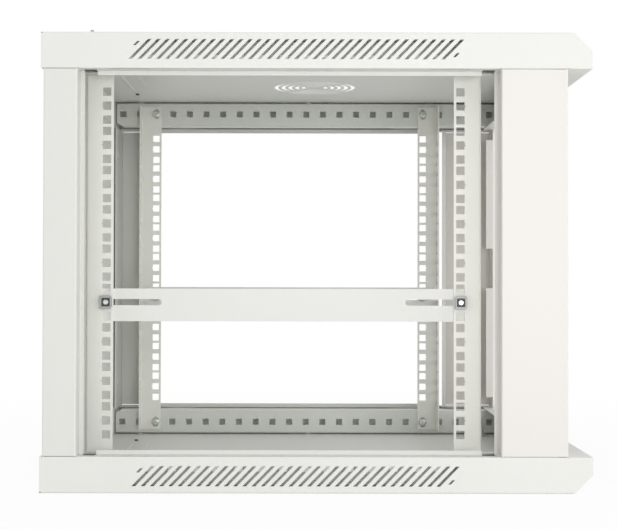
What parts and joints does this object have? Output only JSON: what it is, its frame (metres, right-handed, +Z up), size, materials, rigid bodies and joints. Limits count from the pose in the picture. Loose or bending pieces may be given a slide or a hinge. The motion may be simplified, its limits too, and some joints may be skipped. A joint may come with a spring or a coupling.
{
  "type": "wall mount rack cabinet",
  "caption": "Wall mount rack cabinet for standard rack equipment, shown as an open welded frame with vented covers, punched rack rails and support bars, its door and side panels taken off.",
  "frame": {"origin": "middle of the footprint on the plane the cabinet stands on", "axes": "+X to the cabinet's right as seen from its back, which is the right-hand side of someone looking at the wall; +Y from the door side to the wall; +Z up"},
  "size_m": [0.6, 0.6, 0.5034],
  "materials": {
    "cover_paint": "light grey powder coat",
    "frame_paint": "light grey powder coat",
    "rail_paint": "light grey powder coat",
    "zinc": "bright zinc plate",
    "spring_steel": "dark plated spring steel",
    "rivet_steel": "dull steel"
  },
  "bodies": {
    "root": {"top_cover": "cover_paint", "bottom_cover": "cover_paint", "front_post_left": "frame_paint", "front_post_right": "frame_paint", "rear_post_left": "frame_paint", "rear_post_right": "frame_paint", "rear_panel": "frame_paint", "rear_rack_rail_left": "rail_paint", "rear_rack_rail_right": "rail_paint", "front_rack_rail_left": "rail_paint", "front_rack_rail_right": "rail_paint", "lower_depth_profile_left": "rail_paint", "lower_depth_profile_right": "rail_paint", "upper_depth_profile_left": "rail_paint", "upper_depth_profile_right": "rail_paint", "support_bar_left": "rail_paint", "support_bar_right": "rail_paint", "rail_screws": "zinc", "rail_nuts": "zinc", "bar_bolts": "zinc", "earth_stud": "zinc", "earth_washer": "zinc", "earth_nut": "zinc", "nut_cages": "spring_steel", "cage_nuts": "spring_steel", "roof_rivets": "rivet_steel", "entry_nuts": "spring_steel"}
  },
  "joints": []
}
